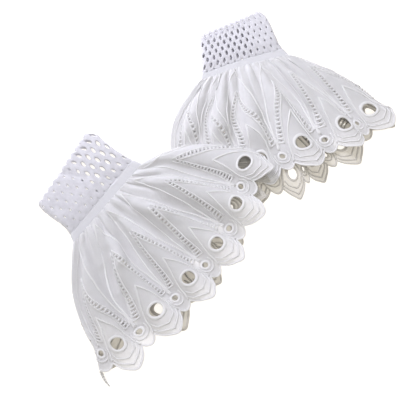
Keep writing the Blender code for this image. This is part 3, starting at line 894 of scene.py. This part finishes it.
def draped_mesh(flat, name, cuff_name, layer, level):
    """A copy of a flat mesh, laid in the folds of one layer."""
    mesh = flat.copy()
    mesh.name = name
    points = np.empty(len(mesh.vertices) * 3, np.float32)
    mesh.vertices.foreach_get("co", points)
    points = points.reshape(-1, 3).astype(float)
    points[:, 2] += level
    mesh.vertices.foreach_set("co", drape(cuff_name, layer, points).astype(np.float32).ravel())
    mesh.update()
    return mesh


def piece(name, mesh, material, replaces=()):
    """A finished mesh as a piece of the part that rides on its one body."""
    made = bpy.data.objects.new(name, mesh)
    bpy.context.scene.collection.objects.link(made)
    mesh.materials.clear()
    mesh.materials.append(material)
    mesh.shade_smooth()
    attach(made, "root")
    if replaces:
        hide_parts(*replaces)
    return made


def in_all_layers(bm, ending, cottons, levels):
    """Pieces that are copies of a flat form, laid in the folds of the four layers, by their node."""
    flat = as_mesh(bm, "flat")
    pieces = {}
    for name in CUFFS:
        for layer, cotton in cottons.items():
            node = f"{name}_flounce_{layer}"
            mesh = draped_mesh(flat, f"{node}_{ending}", name, layer, levels[layer])
            pieces[node] = piece(f"{node}_{ending}", mesh, cotton)
    bpy.data.meshes.remove(flat)
    return pieces


def thicken(made, thickness, offset):
    wall = made.modifiers.new("wall", "SOLIDIFY")
    wall.thickness = thickness
    wall.offset = offset


def round_off(made, levels):
    soft = made.modifiers.new("round", "SUBSURF")
    soft.levels = levels
    soft.render_levels = levels



def ring_point(k, half_width, spread, wall, w):
    """(y, z) round a flattened tube whose wall lies on the table, w outside the wall's middle.

    k is 0 to 1 over the top from +Y to -Y, to 2 round the -Y side, to 3 underneath, to 4 round the +Y side.
    """
    radius = spread / 2
    reach = half_width - wall / 2 - radius
    turn = math.pi * (np.clip(k - 1, 0, 1) + np.clip(k - 3, 0, 1))
    across = np.where(k < 2, 1 - 2 * np.clip(k, 0, 1), -1 + 2 * np.clip(k - 2, 0, 1))
    y = reach * across - (radius + w) * np.sin(turn)
    z = wall / 2 + radius + (radius + w) * np.cos(turn)
    return y, z


def on_band(cuff, k, along, w, spread, wall):
    """Points of a wristband or tape: k round the tube, a distance along the cuff, w outside its middle."""
    table = np.array(cuff["band"])
    half_width, middle = through(table[:, 0], table[:, 1:], along).T
    y, z = ring_point(k, half_width, spread, wall, w)
    bow = seam_bow(cuff, y) * eased(1.0 - along / table[0, 0])
    x = along * (1 + cuff["lean"] * y) + bow
    return on_table(cuff, np.stack((x, y + middle, z), axis=1))


def net_columns(cuff):
    return 2 * (cuff["net"][0] + NET_SIDE)


def ring_place(cuff, column):
    """Place k round the tube of a column counted from the middle of the underside."""
    top = cuff["net"][0]
    q = (column + top / 2 + NET_SIDE + top) % net_columns(cuff)
    far_side = top + NET_SIDE - cuff["underside"][0]
    knots = (0.0, top, far_side, far_side + top, net_columns(cuff))
    return np.interp(q, knots, (0.0, 1.0, 2.0, 3.0, 4.0))


def band_crease(cuff, k, along):
    """Depth of the soft crease over the top of a wristband."""
    if not cuff["band_crease"]:
        return 0.0
    half_width = np.interp(along, *zip(*[row[:2] for row in cuff["band"]]))
    across = np.interp(k, (0.0, 1.0), (1.0, -1.0)) * half_width
    line_across = np.interp(along, *zip(*cuff["band_crease"]))
    depth = BAND_CREASE[0] * np.exp(-(((across - line_across) / BAND_CREASE[1]) ** 2))
    return np.where(k < 1.0, depth, 0.0)


def hole_scale(cuff, k, along):
    """Scale of a hole of the net: it is nearly closed where the net is puffed up or drawn in."""
    share = np.interp(k, *zip(*cuff["open"]))
    share *= 1.0 - cuff["drawn_in"] * eased(1.0 + (along + TAPE_WIDTH) / NET_DRAWN_IN)
    return Matrix.Diagonal((share, share, 1.0))


def net_mesh(cuff, name, strand):
    """Openwork net: diamonds between strands, with a zigzag free edge, wrapped round the band."""
    columns = net_columns(cuff)
    top, rows = cuff["net"]
    bm = grid(columns, rows)
    wide = 2 * HALF_SEAM / top
    start = cuff["band"][0][0] - NET_OVERHANG
    high = (NET_TUCK - TAPE_WIDTH - start) / rows

    def place(vert):
        return round(vert.co.x * columns), round(vert.co.y * rows)

    odd = [vert for vert in bm.verts if sum(place(vert)) % 2]
    for face in list(bm.faces):
        bmesh.utils.face_split(face, *[vert for vert in face.verts if sum(place(vert)) % 2 == 0])
    shape(bm, lambda points: points * (columns * wide, rows * high, 0.0))
    bmesh.ops.dissolve_verts(bm, verts=odd)
    diamonds = list(bm.faces)
    bmesh.ops.inset_individual(bm, faces=diamonds, thickness=strand, use_even_offset=True)
    for face in diamonds:
        middle = face.calc_center_median()
        scale = hole_scale(cuff, ring_place(cuff, middle.x / wide), start + middle.y)
        for vert in face.verts:
            vert.co = middle + scale @ (vert.co - middle)
    bmesh.ops.delete(bm, geom=diamonds, context="FACES")
    low = [face for face in bm.faces if sum(abs(vert.co.y) < MERGED for vert in face.verts) > 1]
    bmesh.ops.delete(bm, geom=low, context="FACES")

    def wrap(points):
        k = ring_place(cuff, points[:, 0] / wide)
        along = start + points[:, 1]
        near_tape = eased(1.0 + (along + TAPE_WIDTH) / NET_SLOPE)
        under = np.interp(k, (1.0, 2.0, 3.0, 4.0), (0.0, 1.0, 1.0, 0.0))
        along += cuff["underside"][1] * under * (1.0 - near_tape)
        level = NET_LEVEL - NET_SINK * near_tape - band_crease(cuff, k, along)
        spread = NET_SPREAD + (TAPE_SPREAD - NET_SPREAD) * near_tape
        wall = NET_WALL + (TAPE_WALL - NET_WALL) * near_tape
        return on_band(cuff, k, along, level, spread, wall)

    return wrapped_mesh(bm, name, wrap)


def tape_place(x):
    """Place k round the tube, at a share of the tape's length."""
    return np.interp(x, TAPE_CORNERS, (0.0, 1.0, 2.0, 3.0, 4.0))


def tape_mesh(cuff, name):
    """Woven tape round the seam, puckered a little by its stitches."""
    bm = grid(TAPE_COLUMNS, TAPE_ROWS)
    map_flat(bm, TAPE_LENGTH, TAPE_WIDTH)

    def wrap(points):
        k = tape_place(points[:, 0])
        along = points[:, 1] * (TAPE_WIDTH + TAPE_OVERLAP) - TAPE_WIDTH
        pucker = PUCKER * np.sin(2 * math.pi * PUCKERS * points[:, 0]) * points[:, 1]
        level = TAPE_WALL / 2 - TAPE_SINK + np.where(k < 1.0, pucker, 0.0)
        return on_band(cuff, k, along, level, TAPE_SPREAD, TAPE_WALL)

    return wrapped_mesh(bm, name, wrap)


def tape_stitches(cuff, name):
    """Row of small stitches along the tape, beside the gathers."""
    bm = bmesh.new()
    for number in range(TAPE_STITCHES):
        middle = (number + 0.5) / TAPE_STITCHES
        places = [middle + TAPE_STITCH * reach for reach in TAPE_STITCH_POINTS]
        cord(bm, [(x * TAPE_LENGTH, TAPE_STITCH_LINE) for x in places], *TAPE_STITCH_SIZE)

    def wrap(points):
        k = tape_place(points[:, 0] / TAPE_LENGTH)
        level = points[:, 2] + (TAPE_WALL / 2 + TAPE_STITCH_LIFT)
        return on_band(cuff, k, points[:, 1], level, TAPE_SPREAD, TAPE_WALL)

    return wrapped_mesh(bm, name, wrap, merged=False)


def tail_mesh(cuff, name):
    """Thread end past the lower hem corner, two plies twisted together."""
    hem = np.array([HEM_CORNER])
    ends = (hem, hem - TAIL_BEFORE)
    corner, before = (spoke(cuff, "front", np.array([1.0]), v)[0] for v in ends)
    out = (corner - before) / np.linalg.norm(corner - before)
    aside = np.array((-out[1], out[0]))
    along, sideways, radii = zip(*TAIL_ROWS)
    steps = np.linspace(along[0], along[-1], TAIL_STEPS)
    bm = bmesh.new()
    for ply in (0.0, 1.0):
        one = bmesh.new()
        cord(one, [(x, 0.0) for x in steps], 1.0, 1.0, TAIL_SIDES)

        def twist(points):
            x = points[:, 0]
            radius = np.interp(x, along, radii)
            ply_radius = radius * TAIL_PLY
            turn = math.pi * ply + 2 * math.pi * x / TAIL_TWIST
            y = (radius - ply_radius) * np.cos(turn) + points[:, 1] * ply_radius
            z = radius + (radius - ply_radius) * np.sin(turn) + points[:, 2] * ply_radius
            plan = corner + x[:, None] * out + (np.interp(x, along, sideways) + y)[:, None] * aside
            return on_table(cuff, np.concatenate((plan, z[:, None]), axis=1))

        shape(one, twist)
        bmesh.ops.recalc_face_normals(one, faces=one.faces)
        made = as_mesh(one, "ply")
        bm.from_mesh(made)
        bpy.data.meshes.remove(made)
    return as_mesh(bm, name)


def set_inputs(node, values):
    for name, value in values.items():
        node.inputs[name].default_value = value


class Finish:
    """A material on its way: its nodes, and the coordinates that its pattern follows."""

    def __init__(self, name, colour, kind, follows="UV"):
        self.material = bpy.data.materials.new(name)
        self.material.use_nodes = True
        self.nodes = self.material.node_tree.nodes
        self.links = self.material.node_tree.links
        self.shader = self.nodes["Principled BSDF"]
        self.colour = colour
        self.follows = follows
        own = zip(("Roughness", "Sheen Weight", "Subsurface Weight"), kind)
        set_inputs(self.shader, {"Base Color": (*colour, 1.0), **dict(own), **EVERY_CLOTH})

    def pattern(self, kind, **values):
        """A texture node on the coordinates that the pattern follows."""
        node = self.nodes.new(kind)
        set_inputs(node, values)
        coordinates = self.nodes.new("ShaderNodeTexCoord")
        self.links.new(coordinates.outputs[self.follows], node.inputs["Vector"])
        return node

    def noise(self, scale, detail):
        return self.pattern("ShaderNodeTexNoise", Scale=scale, Detail=detail).outputs["Fac"]

    def threads(self, direction, pitch, distortion=0.0):
        """Parallel threads a pitch apart (metres), as a height."""
        scale = 2 * math.pi / BANDS_PER_TURN / pitch
        node = self.pattern("ShaderNodeTexWave", Scale=scale, Distortion=distortion)
        node.bands_direction = direction
        return node.outputs["Fac"]

    def calculated(self, operation, *values):
        """A Math node. Each value is a number or the output that it comes from."""
        node = self.nodes.new("ShaderNodeMath")
        node.operation = operation
        for value, socket in zip(values, node.inputs):
            if isinstance(value, float):
                socket.default_value = value
            else:
                self.links.new(value, socket)
        return node.outputs[0]

    def mottle(self, scale, depth):
        """Slight unevenness of the colour."""
        ramp = self.nodes.new("ShaderNodeValToRGB")
        for end, place, shade in zip(ramp.color_ramp.elements, MOTTLE_ENDS, (1.0 - depth, 1.0)):
            end.position = place
            end.color = (*[c * shade for c in self.colour], 1.0)
        self.links.new(self.noise(scale, MOTTLE_DETAIL), ramp.inputs["Fac"])
        self.links.new(ramp.outputs["Color"], self.shader.inputs["Base Color"])

    def bump(self, height, strength, distance):
        node = self.nodes.new("ShaderNodeBump")
        set_inputs(node, {"Strength": strength, "Distance": distance})
        self.links.new(height, node.inputs["Height"])
        self.links.new(node.outputs["Normal"], self.shader.inputs["Normal"])


def woven(name, colour, pitch):
    """Plain weave on the cloth's own UV map, a little crumpled."""
    made = Finish(name, colour, WOVEN)
    made.mottle(*WOVEN_MOTTLE)
    top = made.calculated("MAXIMUM", made.threads("X", pitch), made.threads("Y", pitch))
    crumple = made.noise(CRUMPLE, BUMP_DETAIL)
    made.bump(made.calculated("MULTIPLY_ADD", crumple, CRUMPLE_HEIGHT, top), *WOVEN_BUMP)
    return made.material


def satin(name, colour, pitch):
    """Stitches side by side along a cord's UV map."""
    made = Finish(name, colour, SATIN)
    made.bump(made.threads("X", pitch, SATIN_DISTORTION), *SATIN_BUMP)
    return made.material


def crocheted(name, colour):
    """Soft twisted cotton of the net."""
    made = Finish(name, colour, CROCHETED, "Object")
    made.mottle(*NET_MOTTLE)
    made.bump(made.noise(NET_FIBRES, BUMP_DETAIL), *NET_BUMP)
    return made.material


def size(name, description, default, low, high):
    limits = {"min": low, "max": high, "unit": "LENGTH", "precision": 5}
    return FloatProperty(name=name, description=description, default=default, **limits)


def colour(name, description, default):
    limits = {"min": 0.0, "max": 1.0, "size": 3, "subtype": "COLOR"}
    return FloatVectorProperty(name=name, description=description, default=default, **limits)


def amount(name, description, default, **kind):
    return FloatProperty(name=name, description=description, default=default, **kind)


def angle(name, description, degrees):
    return amount(name, description, math.radians(degrees), subtype="ANGLE")


class LaceCuffSizes(bpy.types.PropertyGroup):
    """Sizes of the thin cloth and the threads"""

    cloth: size("Cloth", "Thickness of the flounce's cloth", 0.0004, 0.0002, 0.0010)
    cord: size("Cord", "Radius of the raised cords", 0.00062, 0.0002, 0.0010)
    strand: size("Net strand", "Half width of a strand of the net", STRAND, 0.0005, 0.0018)
    weave: size("Weave", "Distance between the cloth's threads", 0.0005, 0.0002, 0.0020)
    stitch: size("Stitch", "Distance between stitches of a raised cord", 0.0007, 0.0002, 0.0020)


class LaceCuffColours(bpy.types.PropertyGroup):
    """Colours of the cottons and of the stage"""

    cotton: colour("Cotton", "Cloth of the flounce's upper layer", (0.82, 0.812, 0.83))
    # Painted shade: the lower layer is the same white cloth as the upper one, and this darker, warmer copy
    # of its colour stands in for the shade inside the cuff and under the upper layer
    inner: colour("Inner cotton", "Cloth of the lower layer, seen from inside", (0.62, 0.595, 0.545))
    stitch: colour("Stitching", "Raised cords and rims", (0.87, 0.865, 0.87))
    net: colour("Net", "Crocheted cotton of the wristband", (0.68, 0.675, 0.71))
    tape: colour("Tape", "Woven tape over the seam", (0.71, 0.71, 0.74))
    tail: colour("Thread end", "Loose thread at the hem", (0.70, 0.69, 0.67))
    floor: colour("Floor", "Table that the cuffs lie on", (0.50, 0.50, 0.50))


class LaceCuffStage(bpy.types.PropertyGroup):
    """Light and camera"""

    key: amount("Key light", "Power of the soft lamp at the upper left (watts)", 2.5)
    width: amount("Key width", "Width of that lamp", 0.26, unit="LENGTH")
    fill: amount("Fill light", "Strength of the light from the camera's side", 1.15)
    softness: angle("Fill softness", "Width of the fill light", 70.0)
    sky: amount("Sky light", "Strength of the light from all round", 0.30)
    table: amount("Table light", "Light of the white table itself", 0.80)
    elevation: angle("Camera elevation", "Above the table", 65.0)
    distance: amount("Camera distance", "From the point it looks at", 0.440, unit="LENGTH")
    view: angle("Field of view", "Across the picture", 40.0)


class LACE_OT_wristbands(bpy.types.Operator):
    """Make the openwork wristbands"""

    bl_idname = "lace_cuffs.wristbands"
    bl_label = "Wristbands"

    def execute(self, context):
        sizes, colours = context.scene.lace_sizes, context.scene.lace_colours
        cotton = crocheted("crocheted_cotton", tuple(colours.net))
        for name, cuff in CUFFS.items():
            mesh = net_mesh(cuff, f"{name}_net", sizes.strand * cuff["strand"])
            made = piece(f"{name}_wristband_net", mesh, cotton, [f"{name}_wristband"])
            thicken(made, NET_THICKNESS, 0.0)
            round_off(made, 2)
        return {"FINISHED"}


class LACE_OT_tapes(bpy.types.Operator):
    """Make the tapes over the seams"""

    bl_idname = "lace_cuffs.tapes"
    bl_label = "Tapes"

    def execute(self, context):
        colours = context.scene.lace_colours
        cotton = woven("woven_tape", tuple(colours.tape), TAPE_WEAVE)
        thread = satin("sewing_thread", tuple(colours.stitch), TAPE_THREAD)
        for name, cuff in CUFFS.items():
            mesh = tape_mesh(cuff, f"{name}_tape")
            made = piece(f"{name}_seam_tape", mesh, cotton, [f"{name}_tape"])
            thicken(made, TAPE_THICKNESS, -1.0)
            mesh = tape_stitches(cuff, f"{name}_stitches")
            piece(f"{name}_seam_stitches", mesh, thread)
        return {"FINISHED"}


class LACE_OT_flounces(bpy.types.Operator):
    """Make the eyelet cloth of both flounces"""

    bl_idname = "lace_cuffs.flounces"
    bl_label = "Flounces"

    def execute(self, context):
        sizes, colours = context.scene.lace_sizes, context.scene.lace_colours
        cottons = {
            "front": woven("cotton_lawn", tuple(colours.cotton), sizes.weave),
            # The lower layer gets the darker, warmer copy of the cotton, which is painted shade
            "back": woven("cotton_lawn_painted_shade", tuple(colours.inner), sizes.weave),
        }
        for node, made in in_all_layers(lace_cloth(), "cloth", cottons, CLOTH_LEVEL).items():
            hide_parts(node)
            thicken(made, sizes.cloth, -1.0)
        return {"FINISHED"}


class LACE_OT_stitching(bpy.types.Operator):
    """Make the raised cords, rungs, eyelet rims and hem stitching of both flounces"""

    bl_idname = "lace_cuffs.stitching"
    bl_label = "Stitching"

    def execute(self, context):
        sizes, colours = context.scene.lace_sizes, context.scene.lace_colours
        cottons = {
            "front": satin("satin_stitch", tuple(colours.stitch), sizes.stitch),
            # The lower layer's stitching takes the same painted-shade colour as its cloth
            "back": satin("satin_stitch_painted_shade", tuple(colours.inner), sizes.stitch),
        }
        in_all_layers(lace_stitching(sizes.cord), "stitching", cottons, STITCH_LEVEL)
        return {"FINISHED"}


class LACE_OT_thread_tail(bpy.types.Operator):
    """Make the loose thread end at the left hem"""

    bl_idname = "lace_cuffs.thread_tail"
    bl_label = "Thread tail"

    def execute(self, context):
        thread = satin("loose_thread", tuple(context.scene.lace_colours.tail), TAIL_THREAD)
        mesh = tail_mesh(CUFFS["left"], "left_tail")
        piece("left_thread_end", mesh, thread, ["left_thread_tail"])
        return {"FINISHED"}


def lamp(name, kind, strength, colour, place):
    """A light at a place, turned to the middle of the pair. Returns its data."""
    data = bpy.data.lights.new(name, kind)
    data.energy = strength
    data.color = colour
    lit = bpy.data.objects.new(name, data)
    lit.location = place
    lit.rotation_euler = (-Vector(place)).to_track_quat("-Z", "Y").to_euler()
    bpy.context.scene.collection.objects.link(lit)
    return data


class LACE_OT_stage(bpy.types.Operator):
    """Make the floor, the light and the camera"""

    bl_idname = "lace_cuffs.stage"
    bl_label = "Stage"

    def execute(self, context):
        scene, stage = context.scene, context.scene.lace_stage
        aim = Vector((-PAIR_CENTRE[0], -PAIR_CENTRE[1], 0.0))
        bm = bmesh.new()
        bmesh.ops.create_grid(bm, x_segments=1, y_segments=1, size=FLOOR_HALF)
        shift(bm, 0.0, 0.0, -FLOOR_DROP)
        floor = bpy.data.objects.new("floor", as_mesh(bm, "floor"))
        scene.collection.objects.link(floor)
        paper = Finish("pale_table", tuple(scene.lace_colours.floor), PAPER)
        glow = {"Emission Color": TABLE_GLOW, "Emission Strength": stage.table}
        set_inputs(paper.shader, glow)
        floor.data.materials.append(paper.material)
        lamp("key", "AREA", stage.key, KEY_COLOUR, KEY_PLACE).size = stage.width
        lamp("fill", "SUN", stage.fill, FILL_COLOUR, FILL_PLACE).angle = stage.softness
        world = bpy.data.worlds.new("studio")
        world.use_nodes = True
        set_inputs(world.node_tree.nodes["Background"], {"Color": SKY, "Strength": stage.sky})
        scene.world = world
        scene.view_settings.view_transform = "Standard"
        lens = bpy.data.cameras.new("camera")
        lens.sensor_width = SENSOR
        lens.angle = stage.view
        lens.clip_start = NEAREST_SEEN
        camera = bpy.data.objects.new("camera", lens)
        back = Vector((0.0, -math.cos(stage.elevation), math.sin(stage.elevation)))
        camera.location = aim + back * stage.distance
        camera.rotation_euler = (math.pi / 2 - stage.elevation, 0.0, 0.0)
        scene.collection.objects.link(camera)
        scene.camera = camera
        return {"FINISHED"}


STEPS = (
    LACE_OT_wristbands,
    LACE_OT_tapes,
    LACE_OT_flounces,
    LACE_OT_stitching,
    LACE_OT_thread_tail,
    LACE_OT_stage,
)


class LACE_PT_panel(bpy.types.Panel):
    """The cuffs' sizes, colours and steps"""

    bl_idname = "LACE_PT_panel"
    bl_label = "Lace cuffs"
    bl_space_type = "VIEW_3D"
    bl_region_type = "UI"
    bl_category = "Lace cuffs"

    def draw(self, context):
        layout = self.layout
        for group in (context.scene.lace_sizes, context.scene.lace_colours, context.scene.lace_stage):
            box = layout.box()
            for name in group.__annotations__:
                box.prop(group, name)
        for step in STEPS:
            layout.operator(step.bl_idname)


GROUPS = {"lace_sizes": LaceCuffSizes, "lace_colours": LaceCuffColours, "lace_stage": LaceCuffStage}


def register():
    for made in (*GROUPS.values(), *STEPS, LACE_PT_panel):
        bpy.utils.register_class(made)
    for name, group in GROUPS.items():
        setattr(bpy.types.Scene, name, PointerProperty(type=group))


def unregister():
    for name in GROUPS:
        delattr(bpy.types.Scene, name)
    for made in reversed((*GROUPS.values(), *STEPS, LACE_PT_panel)):
        bpy.utils.unregister_class(made)


def main():
    register()
    for step in STEPS:
        group, operator = step.bl_idname.split(".")
        getattr(getattr(bpy.ops, group), operator)()


if __name__ == "__main__":
    main()
